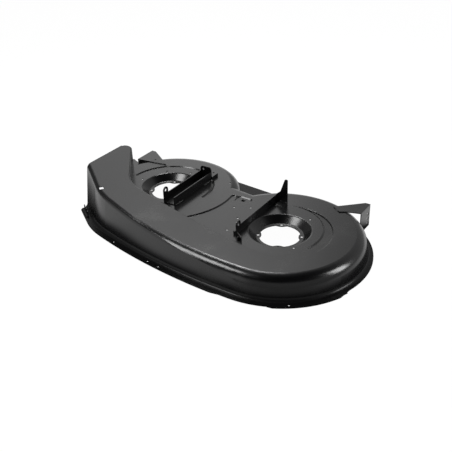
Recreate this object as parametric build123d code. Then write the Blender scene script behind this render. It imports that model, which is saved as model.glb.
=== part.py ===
"""Pressed twin-spindle cutting deck of a ride-on lawn mower.

Each solid is written to parts/NODE.step. Millimetres, +Z up, -Y towards the front of
the mower, +X towards the mower's left. Everything is drawn round the left spindle axis
and moved at the end, so that the origin is the bottom centre of the whole deck.
"""
import os
from math import acos, atan2, cos, degrees, hypot, radians, sin, sqrt, tan

from build123d import *

# Pressed shell: sheet, heights and the two spindle axes
sheet = 2.5
pan_height = 76.0
lip_depth = 5.0
roof_rise = 77.0
roof_start = 130.0
outlet_x = -719.0
spindle_spacing = 472.0
spindle_stagger = 70.0
draft = 8.0
outlet_round = 14.0
nose_draft = 12.0
nose_left = 3.0
nose_right = 28.0
nose_lift = 0.1
top_round = 36.0

# Walls of the blade chambers and the tunnel that leads to the side outlet
left_radius = 271.0
right_radius = 248.0
volute_radius = 274.0
front_radius = 2000.0
volute_leave = -125.0
web_rear = 150.0
crest_left = 142.0
crest_right = 133.0
crest_leave = -143.0
crest_rounds = [(-100.0, 5.0), (-25.0, 2.4)]
band_end = -20.0
tip_round = 22.0
tip_bite = 0.8
tongue_rear = 104.0
tongue_width = 76.0
tongue_fall = 17.0
foot_round = 12.0
skirt = 1.1 * foot_round

# Rim flange
rim_side = 15.0
rim_front = 26.0
rim_hole_radius = 3.0
rim_hole_inset = 9.0
rim_hole_xs = [-479.0, -314.0, -268.0]
rim_hole_turn = -55.4
trim_start_x = -65.0
trim_end_turn = -64.6
nose_start_turn = -25.4
nose_end_turn = -16.3

# Spindle dishes and their openings
dish_radius = 97.0
dish_depth = 21.0
dish_wall = 23.0
dish_rim_round = 8.0
dish_foot_round = 6.0
seat_bolt_circle = 134.0
seat_bolt_count = 4
seat_bolt_start = 25.0
seat_bolt = 8.0
bolt_clearance = 0.5
seat_opening = 64.0
seat_pad = 29.0
seat_pad_edge = 10.0
seat_corner = 10.0

# Pressed grooves and punched holes of the pan
groove_depth = 3.5
groove_lean = 50.0
right_grooves = [(149.0, 131.0, 47.0, 14.0), (147.0, -5.0, 131.0, 11.0), (238.0, -38.0, 48.0, 24.0)]
crescent_low = -20.0
crescent_high = 88.0
crescent_outer = 163.0
crescent_inner = 128.0
crescent_waist = 138.0
crescent_waist_at = 50.0
pan_hole_radius = 3.5
left_hole_polar = [(114.0, 64.0), (110.0, -39.0)]
right_hole_polar = [(114.0, -174.0), (112.0, 133.0), (112.0, 87.0), (172.0, 64.0), (206.0, 35.0)]
web_hole_spots = [(-198.0, 50.0), (-150.0, -4.0), (-150.0, 74.0), (-140.0, -81.0)]
roof_hole_spot = (-589.0, -142.0)
roof_hole_size = 14.0
roof_hole_turn = -35.0
pocket_spot = (-199.0, 107.0)
pocket_size = (58.0, 38.0)
pocket_round = 12.0
pocket_hole = 12.0

# Folded brackets
plate = 3.0
hanger_pin = 10.0
pin_clearance = 0.25
ear_radius = 12.0
right_hanger_offset = 55.0
right_hanger_width = 45.0
right_hanger_height = 28.0
right_hanger_front = -108.0
right_hanger_rear = 105.0
right_ear_rise = 40.0
right_end_rise = 46.0
right_end_hole = 3.5
right_tail_length = 36.0
right_tail_rise = 11.0
right_tail_gap = 3.0
left_hanger_offset = -100.0
left_hanger_height = 25.0
left_hanger_front = -92.0
left_hanger_rear = 157.0
left_hanger_foot = 10.0
left_ear_run = 15.0
left_ear_rise = 30.0
left_nose_length = 43.0
left_nose_turn = -37.0
left_nose_rise = 14.0
left_tab_rise = 11.0
left_tab_run = 31.0
cross_width = 41.0
cross_shoulder = (15.0, 38.0)
cross_foot = 29.0
cross_foot_inset = 11.0
tall_ear_rise = 84.0
tall_ear_width = 10.0
tall_ear_round = 4.0
gauge_bolt = 10.0
gauge_hole_pitch = 17.0
gauge_hole_count = 3
gauge_hole_low = 16.0
gauge_edge = 14.0
gauge_foot = 2.0
gauge_clearance = 2.5
gauge_wall_gap = 2.0
left_gauge_turn = 50.9
left_gauge_run = 70.0
left_gauge_pad = [(-47.0, 69.4), (-53.0, 60.0), (-37.5, 58.0)]
right_gauge_turn = 155.5
right_gauge_run = 86.0
right_gauge_pad = [(-62.0, 133.5), (-84.5, 132.3), (-45.5, 146.1)]
right_gauge_hole = (-33.5, 141.6)
lug_count = 3
lug_pitch = 24.0
lug_size = (9.0, 3.0, 15.0)
lug_strip = (66.0, 11.0)
lug_start = 16.0
lug_offset = 11.0
lug_hole = 2.2
weld_gap = 0.3

# Values that follow from the sizes above
left_spindle = (0.0, 0.0)
right_spindle = (-spindle_spacing, spindle_stagger)
spindle_span = hypot(spindle_spacing, spindle_stagger)
flange_z = lip_depth - sheet
slope = tan(radians(draft))
nose_slope = tan(radians(nose_draft))
nose_bend = (nose_left + nose_lift * nose_slope) / (nose_slope - slope)
nose_room = (pan_height - flange_z - nose_bend) / cos(radians(nose_draft))
front_round = min(top_round, nose_room / tan(radians(45 - nose_draft / 2)))
roof_radius = (roof_rise**2 + (roof_start - outlet_x)**2) / (2 * roof_rise)
beyond = 40.0
far = 430.0


def polar(centre, radius, angle):
    """Point at a radius and an angle in degrees round a centre."""
    return (centre[0] + radius * cos(radians(angle)), centre[1] + radius * sin(radians(angle)))


def bearing(start, end):
    """Angle in degrees of the line from one point to another."""
    return degrees(atan2(end[1] - start[1], end[0] - start[0]))


def column(region, low, high):
    """Upright prism of a plan region between two heights."""
    return extrude(Plane.XY.offset(low) * region, high - low)


def front_centre(left_size=left_radius, volute_size=volute_radius):
    """Centre of the long front arc, which is tangent to the left chamber and the volute."""
    to_right, to_left = front_radius - volute_size, front_radius - left_size
    along = (to_right**2 - to_left**2 + spindle_span**2) / (2 * spindle_span)
    axis = bearing(right_spindle, left_spindle)
    foot = polar(right_spindle, along, axis)
    return polar(foot, sqrt(to_right**2 - along**2), axis + 90)


def on_front_arc(x, inset):
    """Point of the long front arc at a given X, moved in by the inset."""
    centre = front_centre()
    return (x, centre[1] - sqrt((front_radius - inset)**2 - (x - centre[0])**2))


def front_outline(inset, left_size=left_radius, volute_size=volute_radius):
    """Front wall in plan: left chamber, long front arc, right chamber and the run to the outlet."""
    left, right, long = left_size - inset, volute_size - inset, front_radius - inset
    reach = outlet_x - beyond
    centre = front_centre(left_size, volute_size)
    left_turn = bearing(centre, left_spindle)
    right_turn = bearing(centre, right_spindle)
    start_turn = 60.0
    start = polar(left_spindle, left, start_turn)
    left_meet = polar(left_spindle, left, left_turn)
    right_meet = polar(right_spindle, right, right_turn)
    leave = polar(right_spindle, right, volute_leave)
    run = (reach - leave[0]) / sin(radians(volute_leave))
    end = (reach, leave[1] - run * cos(radians(volute_leave)))
    with BuildSketch() as outline:
        with BuildLine():
            Polyline(start, (start[0], far), (reach, far), end, leave)
            ThreePointArc(leave, polar(right_spindle, right, (right_turn + volute_leave) / 2), right_meet)
            ThreePointArc(right_meet, polar(centre, long, (left_turn + right_turn) / 2), left_meet)
            ThreePointArc(left_meet, polar(left_spindle, left, (start_turn + left_turn) / 2), start)
        make_face()
    return outline.sketch


def band_region(inset, reach):
    """Plan of the tunnel band: its inner edge is the crest, its outer side runs past the wall."""
    left, right, tip = crest_left + inset, crest_right + inset, tip_round - inset
    side = bearing(right_spindle, left_spindle) - degrees(acos((right - left) / spindle_span))
    begin = polar(right_spindle, right, crest_leave)
    heading = crest_leave - 90
    mouth = outlet_x + inset
    run = (mouth - tip_bite - begin[0]) / cos(radians(heading))
    corner = polar(begin, run, heading)
    back = tip / tan(radians((180 + crest_leave) / 2))
    turn = polar(corner, back, heading + 180)
    hub = (mouth - tip_bite + tip, corner[1] - back)
    stop_turn = 180 - degrees(acos((tip - tip_bite) / tip))
    stop = polar(hub, tip, stop_turn)
    right_line = polar(right_spindle, right, side)
    left_line = polar(left_spindle, left, side)
    close = polar(left_spindle, left, band_end)
    out = polar(left_spindle, far, band_end)
    with BuildSketch() as region:
        with BuildLine():
            ThreePointArc(stop, polar(hub, tip, (stop_turn + bearing(hub, turn)) / 2), turn)
            Line(turn, begin)
            ThreePointArc(begin, polar(right_spindle, right, (crest_leave + side) / 2), right_line)
            Line(right_line, left_line)
            ThreePointArc(left_line, polar(left_spindle, left, (side + band_end) / 2), close)
            Polyline(close, out, (out[0], -far), (reach, -far), (reach, stop[1]))
            if reach < stop[0]:
                Line((reach, stop[1]), stop)
        make_face()
    return region.sketch


def roof_height(x):
    """Height of the tunnel roof, which is flat and then rises along an arc."""
    if x > roof_start:
        return pan_height
    return pan_height + roof_radius - sqrt(roof_radius**2 - (roof_start - x)**2)


def roof_body(inset):
    """Everything below the tunnel roof, as a prism along Y."""
    end = outlet_x - beyond
    mid = (roof_start + end) / 2
    low = -2 * beyond
    start = (roof_start, pan_height)
    with BuildSketch(Plane.XZ) as side:
        with BuildLine():
            ThreePointArc(start, (mid, roof_height(mid)), (end, roof_height(end)))
            Polyline((end, roof_height(end)), (end, low), (far, low), (far, pan_height), start)
        make_face()
    return Pos(0, 0, -inset) * extrude(side.sketch, 2 * far, both=True)


def wall_profile(radius, inset, foot):
    """Half section of the pan: a wall that leans more above its middle, with rounded top and foot."""
    top, level = pan_height - inset, lip_depth - inset
    low = radius - inset / cos(radians(draft))
    high = radius + nose_left - inset / cos(radians(nose_draft))
    bend = (high - low + nose_lift * nose_slope) / (nose_slope - slope)
    base, waist = low - (foot - flange_z) * slope, low - (level - flange_z) * slope
    neck = high - (top - flange_z) * nose_slope
    with BuildSketch() as half:
        Polygon((0, foot), (base, foot), (low - bend * slope, flange_z + bend), (neck, top + nose_lift),
                (0, top + nose_lift), align=None)
        fillet(half.vertices().sort_by_distance((neck, top + nose_lift))[0], front_round - inset)
        with Locations((0, top)):
            Rectangle(radius, beyond, align=(Align.MIN, Align.MIN), mode=Mode.SUBTRACT)
        with Locations((0, foot)):
            Rectangle(waist + skirt, level - foot, align=(Align.MIN, Align.MIN))
        fillet(half.vertices().sort_by_distance((waist, level))[0], foot_round + inset)
    return half.sketch


def chamber(centre, radius, inset, foot):
    """One blade chamber as a turned solid."""
    return Pos(*centre) * revolve(Plane.XZ * wall_profile(radius, inset, foot), Axis.Z)


def rear_web(inset, foot):
    """Straight rear part of the pan between the two chambers."""
    across = bearing(right_spindle, left_spindle)
    start = Plane(origin=right_spindle, x_dir=polar((0, 0), 1, across + 90), z_dir=polar((0, 0), 1, across))
    return extrude(start * wall_profile(web_rear, inset, foot), spindle_span)


def on_roof(edge, inset):
    """True for an edge that lies on the tunnel roof."""
    middle = edge @ 0.5
    return abs(middle.Z + inset - roof_height(middle.X)) < sheet / 10


def in_hem(edge, hem, level):
    """True for an edge at the foot of the front wall, at the level of the flange."""
    middle = edge @ 0.5
    aside = hem.wire().distance_to(Vertex(middle.X, middle.Y, 0))
    return middle.Y < 0 and abs(middle.Z - level) < sheet / 100 and aside < sheet / 100


def front_wall(inset, foot, lean, widen, size):
    """Front wall of one lean below the tunnel roof, with one size of rounding between them."""
    grow = inset / cos(radians(lean)) + (foot - flange_z) * tan(radians(lean))
    outline = front_outline(grow, left_radius + widen[0], volute_radius + widen[1])
    wall = extrude(Plane.XY.offset(foot) * outline, pan_height + 2 * roof_rise, taper=lean)
    body = (wall & roof_body(inset)).solid()
    wall_top = [edge for edge in body.edges() if on_roof(edge, inset) and (edge @ 0.5).Y < 0]
    return fillet(wall_top, size - inset)


def tunnel_band(inset, foot, reach):
    """Tunnel whose front edge is tight at the outlet and widens to a large rounding at the front."""
    body = front_wall(inset, foot, draft, (0.0, 0.0), outlet_round)
    level = lip_depth - inset
    hem_inset = inset / cos(radians(draft)) + (level - flange_z) * slope
    body = (body + column(front_outline(hem_inset - 2 * foot_round), foot, level)).solid()
    hem = front_outline(hem_inset)
    wall_foot = [edge for edge in body.edges() if in_hem(edge, hem, level)]
    body = fillet(wall_foot, foot_round + inset)
    nose = front_wall(inset, foot, nose_draft, (nose_left, nose_right), front_round)
    clear_foot = column(front_outline(hem_inset - 3 * foot_round), foot, level + 2 * foot_round)
    nose = Pos(0, 0, nose_lift) * nose + clear_foot
    body = (body & nose).solid()
    region = band_region(inset, reach)
    band = (body & column(region, foot - beyond, far)).solid()
    inner = band_region(inset + sheet / 100, reach)

    def on_crest(edge):
        middle = edge @ 0.5
        aside = inner.distance_to(Vertex(middle.X, middle.Y, 0))
        return sheet / 200 < aside < sheet / 50 and on_roof(edge, inset)

    pieces = []
    for limit, size in crest_rounds:
        cut = Plane.YZ.offset(limit)
        high = split(band, bisect_by=cut, keep=Keep.BOTTOM)
        band = split(band, bisect_by=cut, keep=Keep.TOP)
        if size > inset:
            high = fillet(high.edges().filter_by(on_crest), size - inset)
        pieces.append(high)
    return band + pieces


def pan_body(inset, foot):
    """Both blade chambers with their dishes and grooves, the web and the tongue beside the outlet."""
    top = pan_height - inset
    front = bearing(right_spindle, left_spindle) - 90
    web = Polygon(left_spindle, right_spindle, polar(right_spindle, crest_right + beyond, front),
                  polar(left_spindle, crest_left + beyond, front), align=None)
    near, mid, end = outlet_x + inset, outlet_x + tongue_width / 2, outlet_x + tongue_width
    base, rear = right_spindle[1], right_spindle[1] + tongue_rear - inset
    tongue = Polygon((near, base), (end, base), (mid, rear - tongue_fall), (near, rear), align=None)
    body = chamber(left_spindle, left_radius, inset, foot)
    body += chamber(right_spindle, right_radius, inset, foot)
    body += rear_web(inset, foot)
    body += column(web, foot, top)
    body += column(tongue, foot, top)
    for spindle in (left_spindle, right_spindle):
        body -= Pos(*spindle) * dish_profile(inset)
    return body - groove_cutter(inset)


def pressed_body(inset, foot, reach, mouth):
    """Whole pressed form: the pan and the tunnel, joined along the crest."""
    pan = pan_body(inset, foot) - column(band_region(inset, outlet_x - beyond), foot - beyond, far)
    pan &= Pos(mouth + 2 * far, 0, 0) * Box(4 * far, 4 * far, 2 * far)
    return pan + tunnel_band(inset, foot, reach)


def half_plane(start, end, inset):
    """Wide plan region on the left of a directed line, moved in by the inset."""
    ahead = bearing(start, end)
    near = polar(start, inset, ahead + 90)
    back, front = polar(near, -4 * far, ahead), polar(near, 4 * far, ahead)
    aside = ahead + 90
    return Polygon(back, front, polar(front, 4 * far, aside), polar(back, 4 * far, aside), align=None)


def rim_region(inset):
    """Plan of everything inside the outer edge of the rim flange."""
    left, right = left_radius + rim_side - inset, right_radius + rim_side - inset
    side = bearing(right_spindle, left_spindle) + degrees(acos((right - left) / spindle_span))
    rear = Polygon(left_spindle, polar(left_spindle, left, side), polar(right_spindle, right, side),
                   right_spindle, align=None)
    trim_start = on_front_arc(trim_start_x, -rim_front)
    trim_end = polar(left_spindle, left_radius + rim_front, trim_end_turn)
    nose_start = polar(left_spindle, left_radius + rim_front, nose_start_turn)
    nose_end = polar(left_spindle, left_radius + rim_side, nose_end_turn)
    front = front_outline(inset - rim_front) & half_plane(trim_start, trim_end, inset)
    front = front & half_plane(nose_start, nose_end, inset) & half_plane(left_spindle, right_spindle, 0)
    whole = Pos(*left_spindle) * Circle(left) + Pos(*right_spindle) * Circle(right) + rear + front
    return whole & half_plane((outlet_x, far), (outlet_x, -far), 0)


def dish_profile(drop):
    """Half section above a spindle dish, lowered square to the sheet by the drop."""
    lean = degrees(atan2(dish_depth, dish_wall))
    shift = drop * tan(radians(lean / 2))
    floor, top = pan_height - dish_depth - drop, pan_height - drop
    foot, brim = dish_radius - dish_wall + shift, dish_radius + shift
    with BuildSketch(Plane.XZ) as half:
        Polygon((0, floor), (foot, floor), (brim, top), (brim + beyond / 2, top),
                (brim + beyond / 2, pan_height + beyond / 4), (0, pan_height + beyond / 4), align=None)
        fillet(half.vertices().sort_by_distance((foot, floor))[0], dish_foot_round + drop)
        fillet(half.vertices().sort_by_distance((brim, top))[0], dish_rim_round - drop)
    return revolve(half.sketch, Axis.Z)


def seat_region():
    """Opening of a dish with one rounded pad for each seat bolt."""
    with BuildSketch() as opening:
        Circle(seat_opening)
        reach = seat_bolt_circle / 2 + seat_pad - seat_pad_edge
        with PolarLocations(reach, seat_bolt_count, start_angle=seat_bolt_start):
            Circle(seat_pad, mode=Mode.SUBTRACT)
        fillet(opening.vertices(), seat_corner)
    return opening.sketch


def seat_holes():
    """Plan of the seat bolt holes of a dish."""
    with BuildSketch() as holes:
        with PolarLocations(seat_bolt_circle / 2, seat_bolt_count, start_angle=seat_bolt_start):
            Circle(seat_bolt / 2 + bolt_clearance)
    return holes.sketch


def groove_region(grow):
    """Plan of the grooves that are pressed into the pan round the two dishes."""
    with BuildSketch() as grooves:
        for radius, start, sweep, width in right_grooves:
            SlotArc(CenterArc(right_spindle, radius, start, sweep), width + 2 * grow)
        with Locations(pocket_spot):
            RectangleRounded(pocket_size[0] + 2 * grow, pocket_size[1] + 2 * grow, pocket_round + grow)
        with BuildLine():
            low, high = crescent_low, crescent_high
            tip = polar(left_spindle, crescent_outer + grow, high)
            inner = polar(left_spindle, crescent_inner - grow, low)
            outer = polar(left_spindle, crescent_outer + grow, low)
            ThreePointArc(inner, polar(left_spindle, crescent_waist - grow, crescent_waist_at), tip)
            ThreePointArc(tip, polar(left_spindle, crescent_outer + grow, (low + high) / 2), outer)
            Line(outer, inner)
        make_face()
    return grooves.sketch


def groove_cutter(inset):
    """Everything above the pressed grooves, whose walls lean outwards."""
    shift = inset * tan(radians(45 - groove_lean / 2))
    floor = groove_region(shift - groove_depth * tan(radians(groove_lean)))
    return extrude(Plane.XY.offset(pan_height - inset - groove_depth) * floor, groove_depth + sheet,
                   taper=-groove_lean)


def punched_holes():
    """Plan of the small holes of the pan."""
    spots = [polar(left_spindle, *spot) for spot in left_hole_polar]
    spots += [polar(right_spindle, *spot) for spot in right_hole_polar]
    with BuildSketch() as holes:
        with Locations(*spots, *web_hole_spots):
            Circle(pan_hole_radius)
        with Locations(pocket_spot):
            Rectangle(pocket_hole, pocket_hole)
    return holes.sketch


def deck_shell():
    """The pressed sheet: walls, tunnel, dishes, grooves, rim flange and all its holes."""
    shell = pressed_body(0.0, flange_z, outlet_x, outlet_x)
    shell += column(rim_region(0.0), flange_z, lip_depth)
    shell += column(rim_region(0.0) - rim_region(sheet), 0.0, flange_z)
    shell -= pressed_body(sheet, flange_z - beyond, outlet_x - beyond, outlet_x + sheet)
    for spindle in (left_spindle, right_spindle):
        shell -= Pos(*spindle) * column(seat_region() + seat_holes(), 0.0, pan_height)
    shell -= column(punched_holes(), pan_height - sheet - dish_depth, far)
    roof_hole = Pos(*roof_hole_spot) * Rot(0, 0, roof_hole_turn) * Rectangle(roof_hole_size, roof_hole_size)
    shell -= column(roof_hole, pan_height, far)
    rim_holes = [on_front_arc(x, rim_hole_inset - rim_front) for x in rim_hole_xs]
    rim_holes += [polar(left_spindle, left_radius + rim_front - rim_hole_inset, rim_hole_turn)]
    for spot in rim_holes:
        shell -= column(Pos(*spot) * Circle(rim_hole_radius), 0.0, 2 * lip_depth)
    return shell


def block(low, high):
    """Box between two opposite corners."""
    size = [b - a for a, b in zip(low, high)]
    return Pos(*low) * Box(*size, align=(Align.MIN, Align.MIN, Align.MIN))


def side_plate(outline, x):
    """Plate of the bracket thickness, square to X, with its outline given as Y and Z."""
    return extrude(Plane.YZ.offset(x) * outline, plate)


def ear_outline(front, rise, height, length):
    """Upright web in Y and Z with a rounded ear near its front end and a pin hole in the ear."""
    with BuildSketch() as web:
        with Locations((front, 0)):
            Rectangle(length, height, align=(Align.MIN, Align.MIN))
        with Locations((front, 0)):
            Rectangle(2 * ear_radius, rise, align=(Align.MIN, Align.MIN))
        with Locations((front + ear_radius, rise)):
            Circle(ear_radius)
            Circle(hanger_pin / 2 + pin_clearance, mode=Mode.SUBTRACT)
    return web.sketch


def hanger_bracket_right():
    """Channel that bridges the edge of the right dish, with the pin ear on its outer web."""
    x = right_spindle[0] + right_hanger_offset
    front = right_spindle[1] + right_hanger_front
    rear = right_spindle[1] + right_hanger_rear
    channel = block((x, front, 0), (x + right_hanger_width, rear, right_hanger_height))
    channel -= block((x + plate, front, plate), (x + right_hanger_width - plate, rear, far))
    channel += side_plate(ear_outline(front, right_ear_rise, right_hanger_height, rear - front), x)
    return Pos(0, 0, pan_height) * channel


def hanger_end_plate_right():
    """Plate across the rear end of the right channel, with a low tail folded to the rear."""
    x = right_spindle[0] + right_hanger_offset
    y = right_spindle[1] + right_hanger_rear + weld_gap
    edge = x + right_hanger_width + right_tail_gap
    with BuildSketch(Plane.XZ) as face:
        with Locations((x, 0)):
            Rectangle(right_hanger_width, right_end_rise, align=(Align.MIN, Align.MIN))
        fillet(face.vertices().group_by(Axis.Y)[-1], ear_radius)
        with Locations((x, 0)):
            Rectangle(edge - x, right_tail_rise, align=(Align.MIN, Align.MIN))
        with Locations((x + ear_radius, right_end_rise - ear_radius)):
            Circle(right_end_hole, mode=Mode.SUBTRACT)
    body = Pos(0, y + plate, 0) * extrude(face.sketch, plate)
    body += block((edge - plate, y, 0), (edge, y + right_tail_length, right_tail_rise))
    return Pos(0, 0, pan_height) * body


def hanger_bracket_left():
    """Upright web beside the left dish with a foot, a pin ear, a bent nose and two small tabs."""
    x = left_spindle[0] + left_hanger_offset
    front = left_spindle[1] + left_hanger_front
    rear = left_spindle[1] + left_hanger_rear
    body = side_plate(ear_outline(front + left_ear_run - ear_radius, left_ear_rise, left_hanger_height,
                                  rear - front - left_ear_run + ear_radius), x - plate)
    body += block((x - plate, front, 0), (x, rear, left_nose_rise))
    body += block((x - left_hanger_foot, front, 0), (x, rear, plate))
    body += block((x - left_hanger_foot, front, 0), (x, front + plate, left_tab_rise))
    nose = block((-plate, -plate, 0), (left_nose_length, 0, left_nose_rise))
    nose += block((left_tab_run, -left_hanger_foot, 0), (left_tab_run + plate, 0, left_tab_rise))
    body += Pos(x, front + plate, 0) * Rot(0, 0, left_nose_turn) * nose
    return Pos(0, 0, pan_height) * body


def hanger_cross_plate_left():
    """Plate across the rear end of the left web, with a foot on the pan and a tall tapered ear."""
    x = left_spindle[0] + left_hanger_offset - plate
    y = left_spindle[1] + left_hanger_rear + weld_gap
    edge = x + cross_width
    with BuildSketch(Plane.XZ) as face:
        Polygon((x, 0), (edge, 0), (edge, tall_ear_rise), (edge - tall_ear_width, tall_ear_rise),
                (x + cross_shoulder[0], cross_shoulder[1]), (x, left_hanger_height), align=None)
        fillet(face.vertices().group_by(Axis.Y)[-1], tall_ear_round)
    body = Pos(0, y + plate, 0) * extrude(face.sketch, plate)
    foot = block((x + cross_foot_inset, y - cross_foot, 0), (edge, y, plate))
    return Pos(0, 0, pan_height) * (body + foot)


def gauge_bracket(turn, run, pad, spindle, radius):
    """Folded gauge wheel bracket: a pad on the pan and an upright plate that starts at the wall."""
    x, wall = polar(spindle, radius, turn)
    side = 1 if x > spindle[0] else -1
    inner, outer = x, x + side * plate
    front = wall + gauge_wall_gap
    rear = front + run
    corners = [polar(spindle, radius + offset, angle) for offset, angle in pad]
    clear = radius + rim_side + gauge_clearance
    notch = spindle[1] + sqrt(clear**2 - (x - spindle[0])**2)
    top = pan_height + plate
    with BuildSketch() as pad_outline:
        Polygon(*corners, (outer, front), (outer, rear), (x - side * gauge_edge, rear), align=None)
    body = column(pad_outline.sketch, pan_height, top)
    with BuildSketch() as upright:
        Polygon((front, top), (front, lip_depth + foot_round), (notch, lip_depth + gauge_clearance),
                (notch, gauge_foot), (rear, gauge_foot), (rear, top), align=None)
        for step in range(gauge_hole_count):
            with Locations((rear - gauge_edge, gauge_hole_low + step * gauge_hole_pitch)):
                Circle(gauge_bolt / 2 + bolt_clearance, mode=Mode.SUBTRACT)
    body += side_plate(upright.sketch, min(inner, outer))
    return body


def gauge_bracket_right():
    """Right gauge wheel bracket, whose pad has one more hole."""
    body = gauge_bracket(right_gauge_turn, right_gauge_run, right_gauge_pad, right_spindle, right_radius)
    offset, angle = right_gauge_hole
    spot = polar(right_spindle, right_radius + offset, angle)
    return body - column(Pos(*spot) * Circle(right_end_hole), pan_height, far)


def gauge_bracket_left():
    """Left gauge wheel bracket."""
    return gauge_bracket(left_gauge_turn, left_gauge_run, left_gauge_pad, left_spindle, left_radius)


def outlet_lug_bracket():
    """Strip on the rim flange at the front of the outlet, with a row of small drilled lugs."""
    leave = polar(right_spindle, volute_radius, volute_leave)
    ahead = volute_leave - 90
    run = (outlet_x - leave[0]) / cos(radians(ahead))
    start = polar(leave, run - lug_start, ahead)
    strip = block((0, lug_offset, 0), (lug_strip[0], lug_offset + lug_strip[1], plate))
    for step in range(lug_count):
        lug = block((step * lug_pitch, lug_offset, plate),
                    (step * lug_pitch + lug_size[0], lug_offset + lug_size[1], lug_size[2]))
        drill = Pos(step * lug_pitch + lug_size[0] / 2, 0, lug_size[2] - lug_size[0] / 2)
        strip += lug - drill * Rot(90, 0, 0) * Cylinder(lug_hole, far)
    strip = Pos(start[0], start[1], lip_depth) * Rot(0, 0, ahead + 180) * mirror(strip, Plane.XZ)
    return strip


nodes = [deck_shell, hanger_bracket_left, hanger_cross_plate_left, hanger_bracket_right,
         hanger_end_plate_right, gauge_bracket_left, gauge_bracket_right, outlet_lug_bracket]
solids = {make.__name__: make() for make in nodes}
box = solids["deck_shell"].bounding_box()
for solid in solids.values():
    box = box.add(solid.bounding_box())
to_origin = Pos(-round(box.center().X, 1), -round(box.center().Y, 1), 0)
os.makedirs("parts", exist_ok=True)
for name, solid in solids.items():
    print(name, "solids", len(solid.solids()), "volume", round(solid.volume))
    export_step(to_origin * solid, f"parts/{name}.step")
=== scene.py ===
# %% [markdown]
# # A pressed lawn mower deck
# The solids of the deck come in as a fixed frame: one pressed shell and seven folded brackets.
# They already have their place and size, so this lesson only adds what a drawing of solids
# lacks: the black powder coat, the weld beads, the studio and the camera.

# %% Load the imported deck
import math

import bpy
import numpy as np
from mathutils import Matrix


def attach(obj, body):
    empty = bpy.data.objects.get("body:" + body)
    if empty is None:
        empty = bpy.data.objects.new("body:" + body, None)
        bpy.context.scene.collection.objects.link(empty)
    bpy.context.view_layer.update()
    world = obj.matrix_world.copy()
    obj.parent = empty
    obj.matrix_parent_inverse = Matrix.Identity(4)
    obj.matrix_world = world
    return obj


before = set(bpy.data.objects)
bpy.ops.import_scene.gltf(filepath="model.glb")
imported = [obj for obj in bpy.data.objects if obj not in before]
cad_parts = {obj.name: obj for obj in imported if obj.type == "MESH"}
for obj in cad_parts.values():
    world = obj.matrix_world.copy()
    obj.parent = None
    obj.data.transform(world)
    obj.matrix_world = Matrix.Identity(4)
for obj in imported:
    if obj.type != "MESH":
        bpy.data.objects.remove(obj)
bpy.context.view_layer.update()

print("nodes:", ", ".join(sorted(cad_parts)))

# %% [markdown]
# ## Camera
# The deck was photographed from its front left corner, a little over a metre above it. A camera
# could be aimed with a constraint, but a matrix built from two angles and a small roll is exact
# and needs nothing else in the scene.

# %% Camera at the photograph's angle
view_azimuth = math.radians(34.2)
view_pitch = math.radians(30.52)
view_roll = math.radians(-1.95)
view_target = np.array([-0.01088, 0.02397, 0.0])
view_distance = 2.378
lens_length = 57.35
sensor_width = 36.0
right_axis = np.array([math.cos(view_azimuth), math.sin(view_azimuth), 0.0])
away_axis = np.array([-math.sin(view_azimuth), math.cos(view_azimuth), 0.0])
up_axis = np.array([0.0, 0.0, 1.0])


def camera_axes(pitch, roll):
    """Right, up and back axes: pitch tips the back axis up, roll turns the other two round it."""
    back = math.sin(pitch) * up_axis - math.cos(pitch) * away_axis
    up = np.cross(back, right_axis)
    return np.array([math.cos(roll) * right_axis + math.sin(roll) * up,
                     math.cos(roll) * up - math.sin(roll) * right_axis, back])


def placed(axes, spot):
    """Matrix of an object at a spot, with its three axes given as rows."""
    matrix = np.eye(4)
    matrix[:3, :3] = np.transpose(axes)
    matrix[:3, 3] = spot
    return Matrix(matrix.tolist())


view_axes = camera_axes(view_pitch, view_roll)
view_spot = view_target + view_distance * view_axes[2]
lens = bpy.data.cameras.new("photo_camera")
lens.lens = lens_length
lens.sensor_width = sensor_width
camera = bpy.data.objects.new("photo_camera", lens)
camera.matrix_world = placed(view_axes, view_spot)
bpy.context.scene.collection.objects.link(camera)
bpy.context.scene.camera = camera
bpy.context.scene.view_settings.view_transform = "Standard"
print("camera at", np.round(view_spot, 3))

# %% [markdown]
# ## Writing shaders as sums
# A node tree is a formula drawn with boxes. One small class lets Python write the formula: it
# holds a socket, and a plus or a minus between two of them adds the Math node.

# %% A socket that can be added up
class Wire:
    """A socket of a node tree. Arithmetic on it adds Math nodes, and node() adds any other node."""

    def __init__(self, tree, socket=None):
        self.tree = tree
        self.socket = socket

    def node(self, kind, settings=None, sockets=None, out=0):
        """Adds a node: its settings first, then the value or link of each named socket."""
        made = self.tree.nodes.new("ShaderNode" + kind)
        for name, value in (settings or {}).items():
            setattr(made, name, value)
        for name, value in (sockets or {}).items():
            if isinstance(value, Wire):
                self.tree.links.new(value.socket, made.inputs[name])
            else:
                made.inputs[name].default_value = value
        return Wire(self.tree, made.outputs[out] if made.outputs else None)

    def math(self, operation, first, second):
        return self.node("Math", {"operation": operation}, {0: first, 1: second})

    def vector(self, operation, first, second, out="Vector"):
        return self.node("VectorMath", {"operation": operation}, {0: first, 1: second}, out=out)

    def slide(self, low, high, first=0.0, last=1.0):
        """Smooth step of this value from one level to another."""
        return self.node("MapRange", {"interpolation_type": "SMOOTHSTEP"},
                         {"Value": self, "From Min": low, "From Max": high,
                          "To Min": first, "To Max": last})

    def __add__(self, other):
        return self.math("ADD", self, other)

    def __radd__(self, other):
        return self.math("ADD", other, self)

    def __sub__(self, other):
        return self.math("SUBTRACT", self, other)

    def __rsub__(self, other):
        return self.math("SUBTRACT", other, self)

    def __mul__(self, other):
        return self.math("MULTIPLY", self, other)

    def __rmul__(self, other):
        return self.math("MULTIPLY", other, self)


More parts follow.
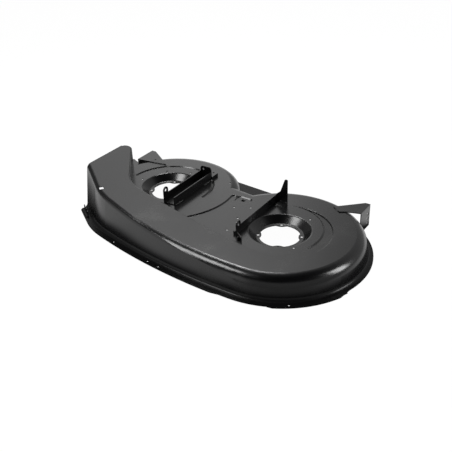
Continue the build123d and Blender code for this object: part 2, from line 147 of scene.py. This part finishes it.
def new_tree(name):
    """A new material and a pen for its empty node tree."""
    material = bpy.data.materials.new(name)
    material.use_nodes = True
    material.node_tree.nodes.clear()
    return material, Wire(material.node_tree)


print("shader pen ready")

# %% [markdown]
# ## Black powder coat
# Powder is sprayed on dry and melted in an oven. The skin is black and fairly glossy, with a
# fine orange peel, and a pressed sheet is never quite flat under it. The coat is thin on sharp
# edges, so they are drawn lighter, which also serves as a painted highlight along them. Dust
# settles where nothing wipes it. Powder hardly reaches the inside corner at the foot of the wall,
# so the skin is drawn dull there. Image textures would need unwrapping, so noise and height on
# Object coordinates give each of these at its own scale, in metres.

# %% The powder coat
peel_height = 0.0000025
dull_below = 0.010
gloss_above = 0.022
dull_share = 0.75


def powder_coat(name, colour, dust_and_highlight_colour, gloss, wave, edge_radius):
    """Black coat: noise sets gloss and dust; a Bevel node rounds the edges, which are drawn lighter as
    a thin coat and a painted highlight.
    """
    material, pen = new_tree(name)
    place = pen.node("TexCoord", out="Object")

    def cloud(scale, detail):
        return pen.node("TexNoise", None, {"Vector": place, "Scale": scale, "Detail": detail})

    rounded = pen.node("Bevel", {"samples": 6}, {"Radius": edge_radius})
    flat = pen.node("NewGeometry", out="Normal")
    facing = pen.vector("DOT_PRODUCT", rounded, flat, "Value")
    # Edges drawn lighter: the coat is thin there, and it is also a painted highlight.
    thin_coat_and_edge_highlight = (1 - facing).slide(0.02, 0.25)
    blotch = cloud(9.0, 3.0)
    specks = cloud(420.0, 2.0)
    dust = (blotch + 0.35 * specks).slide(0.72, 1.0)
    tint = pen.node("Mix", {"data_type": "RGBA"},
                    {"Factor": 0.5 * dust + 0.4 * thin_coat_and_edge_highlight, 6: colour, 7: dust_and_highlight_colour}, out=2)
    rough = gloss + 0.10 * blotch + 0.08 * dust + 0.05 * specks
    height = peel_height * cloud(320.0, 1.0) + wave * cloud(6.0, 1.0)
    skin = pen.node("Bump", None,
                    {"Strength": 1.0, "Distance": 1.0, "Height": height, "Normal": rounded})
    paint = pen.node("BsdfPrincipled", None,
                     {"Base Color": tint, "Roughness": rough, "Normal": skin})
    thin = pen.node("BsdfPrincipled", None,
                    {"Base Color": tint, "Roughness": 0.6, "Specular IOR Level": 0.1})
    above = pen.node("SeparateXYZ", None, {"Vector": place}, out="Z")
    low = 1 - above.slide(dull_below, gloss_above)
    coat = pen.node("MixShader", None, {0: dull_share * low, 1: paint, 2: thin})
    pen.node("OutputMaterial", None, {"Surface": coat})
    return material


shell_coat = powder_coat("shell_powder_coat", (0.002, 0.002, 0.0022, 1), (0.014, 0.014, 0.013, 1),
                         gloss=0.15, wave=0.0005, edge_radius=0.0012)
bracket_coat = powder_coat("bracket_powder_coat", (0.0015, 0.0015, 0.0017, 1),
                           (0.012, 0.012, 0.011, 1), gloss=0.20, wave=0.0003, edge_radius=0.0008)
for name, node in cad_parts.items():
    node.data.materials.clear()
    node.data.materials.append(shell_coat if name == "deck_shell" else bracket_coat)
print("coated", len(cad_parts), "nodes")

# %% [markdown]
# ## Weld beads
# Each bracket is held by short runs of weld where its foot meets the pan. A bead could be a curve
# with a bevel, but a real one swells and ripples as the wire melts. So it is a circle carried
# along a line: its radius has a fine ripple and falls to nearly nothing at both ends, and half
# of it is sunk in the sheet.

# %% Helpers for meshes and tubes
def mesh_piece(name, points, faces, material):
    """Puts whole arrays of points and lists of corners into a new object at the origin."""
    mesh = bpy.data.meshes.new(name)
    mesh.from_pydata(points.tolist(), [], faces)
    mesh.polygons.foreach_set("use_smooth", np.ones(len(faces), dtype=bool))
    mesh.materials.append(material)
    piece = bpy.data.objects.new(name, mesh)
    bpy.context.scene.collection.objects.link(piece)
    return piece


def tube_faces(count, rings, around):
    """Corners of closed tubes: quads from ring to ring, and one cap at each end."""
    ring = np.arange(rings - 1)[:, None] * around
    turn = np.arange(around)
    ahead = (turn + 1) % around
    corners = [ring + turn, ring + ahead, ring + around + ahead, ring + around + turn]
    quads = np.stack(corners, axis=-1).reshape(-1, 4)
    first = np.arange(count)[:, None] * rings * around
    caps = np.concatenate([first + turn[::-1], first + (rings - 1) * around + turn])
    return (first[:, :, None] + quads).reshape(-1, 4).tolist() + caps.tolist()


print("mesh helpers ready")

# %% Beads along the feet of the brackets
pan_top = 0.076
bead_radius = 0.0026
bead_ripple = 0.0035
bead_flatness = 0.75
bead_runs = np.array([
    [(-0.1555, -0.052), (-0.1555, -0.012)], [(-0.1555, 0.108), (-0.1555, 0.150)],
    [(-0.2005, -0.054), (-0.2005, -0.036)], [(-0.2005, 0.136), (-0.2005, 0.154)],
    [(0.1065, -0.100), (0.1065, -0.066)], [(0.1065, -0.016), (0.1065, 0.020)],
    [(0.1065, 0.072), (0.1065, 0.108)], [(0.1280, 0.1097), (0.1520, 0.1097)],
    [(0.2990, 0.1886), (0.3220, 0.1727)], [(-0.3720, 0.1714), (-0.4180, 0.1651)]])


def weld_beads(runs, rings=61, around=10):
    """Flattened circle along each run: radius = ripple x an end curve that falls to nearly nothing."""
    height = np.full((len(runs), 1), pan_top)
    starts = np.concatenate([runs[:, 0], height], axis=1)
    ends = np.concatenate([runs[:, 1], height], axis=1)
    run = ends - starts
    length = np.linalg.norm(run, axis=1)[:, None]
    side = np.cross(up_axis, run / length)
    share = np.linspace(0.0, 1.0, rings)
    swell = np.sqrt(1.0 - np.abs(2.0 * share - 1.0) ** 10) + 0.05
    ripple = 1.0 + 0.12 * np.sin(2.0 * np.pi * share * length / bead_ripple)
    size = bead_radius * swell * ripple
    turn = np.linspace(0.0, 2.0 * np.pi, around, endpoint=False)
    centre = starts[:, None] + share[:, None] * run[:, None]
    lift = bead_flatness * up_axis
    spread = np.cos(turn)[:, None] * side[:, None] + np.sin(turn)[:, None] * lift
    points = centre[:, :, None] + size[:, :, None, None] * spread[:, None]
    return points.reshape(-1, 3), tube_faces(len(runs), rings, around)


beads = mesh_piece("weld_beads", *weld_beads(bead_runs), bracket_coat)
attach(beads, "root")
print("beads:", len(bead_runs), "faces", len(beads.data.polygons))

# %% [markdown]
# ## Paper floor
# The deck stands on plain white paper. A camera ray sees it white. A mirrored ray sees light
# that is drawn darker close to the wall and towards the front, which keeps the foot of the
# wall black. That could be left to the lamps alone, but a distance from the line through the
# two spindles and on to the outlet is steadier, and a plain formula.

# %% The floor
spindles = [(0.2165, -0.0186, 0.0), (-0.2555, 0.0514, 0.0), (-0.55, 0.26, 0.0)]
wall_reach = 0.272
shade_start = wall_reach + 0.05
shade_end = wall_reach + 0.10
paper_glow = 0.94
floor_level = -0.0008
floor_reach = 9.0
floor_rows = 13


def grid_faces(rows, columns):
    """Corner numbers of the quads of a grid with that many rows and columns of points."""
    corner = np.arange((rows - 1) * columns).reshape(rows - 1, columns)[:, :-1]
    corners = [corner, corner + 1, corner + columns + 1, corner + columns]
    return np.stack(corners, axis=-1).reshape(-1, 4).tolist()


def paper(name):
    """Pale floor: white for the camera, and shaded close to the deck for mirrored rays."""
    material, pen = new_tree(name)
    place = pen.node("TexCoord", out="Object")

    def beside(start, end):
        """Distance from the straight line between two points."""
        run = np.subtract(end, start)
        from_start = pen.vector("SUBTRACT", place, start)
        along = pen.vector("DOT_PRODUCT", from_start, tuple(run / (run @ run)), "Value")
        share = pen.node("Clamp", None, {"Value": along})
        reached = pen.node("VectorMath", {"operation": "SCALE"}, {0: tuple(run), "Scale": share})
        return pen.vector("DISTANCE", place, pen.vector("ADD", reached, start), "Value")

    near = pen.math("MINIMUM", beside(spindles[0], spindles[1]), beside(spindles[1], spindles[2]))
    back = pen.vector("DOT_PRODUCT", place, tuple(away_axis), "Value")
    shade = near.slide(shade_start, shade_end, 0.03, 1.0) * back.slide(-0.54, -0.38, 0.38, 1.0)
    grain = pen.node("TexNoise", None, {"Vector": place, "Scale": 30.0})
    tone = pen.node("Mix", {"data_type": "RGBA"},
                    {"Factor": 0.94 + 0.06 * grain, 6: (0.01, 0.01, 0.01, 1),
                     7: (0.80, 0.80, 0.80, 1)}, out=2)
    dull = pen.node("BsdfDiffuse", None, {"Color": tone})
    seen = pen.node("LightPath", out="Is Camera Ray")
    mirrored = pen.node("LightPath", out="Is Glossy Ray")
    bright = pen.node("Emission", None,
                      {"Color": (1, 1, 1, 1), "Strength": 1.04 * seen + shade * mirrored})
    mixed = pen.node("MixShader", None, {0: paper_glow * seen + mirrored, 1: dull, 2: bright})
    pen.node("OutputMaterial", None, {"Surface": mixed})
    return material


line = np.linspace(-floor_reach, floor_reach, floor_rows)
u, v = np.meshgrid(line, line, indexing="ij")
floor_points = np.stack([u, v, np.full_like(u, floor_level)], axis=-1).reshape(-1, 3)
floor = mesh_piece("paper_floor", floor_points, grid_faces(floor_rows, floor_rows),
                   paper("white_paper"))
print("floor faces", len(floor.data.polygons))

# %% [markdown]
# ## Studio walls
# A black gloss shows mostly what stands round it. The walls could be modelled as screens, but
# the world behind everything can hold the same greys as a formula of the ray's direction. A
# camera ray sees it white, like the paper.

# %% The walls
world = bpy.data.worlds.new("studio_walls")
bpy.context.scene.world = world
world.use_nodes = True
world.node_tree.nodes.clear()
pen = Wire(world.node_tree)
seen = pen.node("LightPath", out="Is Camera Ray")
direction = pen.node("TexCoord", out="Generated")
away = pen.vector("DOT_PRODUCT", direction, tuple(away_axis), "Value")
aside = pen.vector("DOT_PRODUCT", direction, tuple(right_axis), "Value")
up = pen.vector("DOT_PRODUCT", direction, tuple(up_axis), "Value")
behind = away.slide(-0.1, 0.3)
back_wall = aside.slide(-0.45, -0.03, 0.22, 1.28) * aside.slide(0.03, 0.2, 1.0, 0.38)
front_wall = up.slide(0.42, 0.6, 0.45, 0.02) * aside.slide(-0.8, -0.6, 2.6, 1.0)
level = up.slide(0.7, 0.9, 1.0, 0.15) * (behind * back_wall + (1 - behind) * front_wall)
walls = pen.node("Background", None, {"Color": (1, 1, 1, 1), "Strength": level})
white = pen.node("Background", None, {"Color": (1, 1, 1, 1)})
shown = pen.node("MixShader", None, {0: seen, 1: walls, 2: white})
pen.node("OutputWorld", None, {"Surface": shown})
print("wall nodes", len(world.node_tree.nodes))

# %% [markdown]
# ## Soft boxes
# One soft box at each side gives the streaks on the wide rounding, and a strip behind lights its
# brow. A lamp could be given in watts, but its radiance is what a gloss shows, so the power
# follows from the radiance and the area.

# %% The soft boxes
lamp_aim = np.array([0.0, 0.0, 0.05])


def soft_box(name, spot, size, radiance):
    """Rectangular lamp that faces the deck: power = radiance x pi x area."""
    lamp = bpy.data.lights.new(name, "AREA")
    lamp.shape = "RECTANGLE"
    lamp.size, lamp.size_y = size
    lamp.energy = radiance * math.pi * size[0] * size[1]
    back = spot - lamp_aim
    back /= np.linalg.norm(back)
    right = np.cross(up_axis, back)
    right /= np.linalg.norm(right)
    box = bpy.data.objects.new(name, lamp)
    box.matrix_world = placed([right, np.cross(back, right), back], spot)
    box.visible_camera = False
    bpy.context.scene.collection.objects.link(box)
    return box


def around(azimuth, elevation, distance):
    """Point round the deck: degrees to the right of the line away from the camera, and upwards."""
    turn = math.radians(azimuth) - view_azimuth
    lift = math.radians(elevation)
    level_way = np.array([math.sin(turn), math.cos(turn), 0.0])
    return distance * (math.cos(lift) * level_way + math.sin(lift) * up_axis)


boxes = [soft_box("left_box", around(-97.0, 57.0, 2.3), (0.95, 0.6), 13.0),
         soft_box("right_box", around(107.0, 27.0, 2.4), (0.7, 1.0), 13.0),
         soft_box("rear_strip", around(-3.0, 57.5, 2.4), (0.6, 0.32), 22.0)]
print("lamps:", ", ".join(box.name for box in boxes))
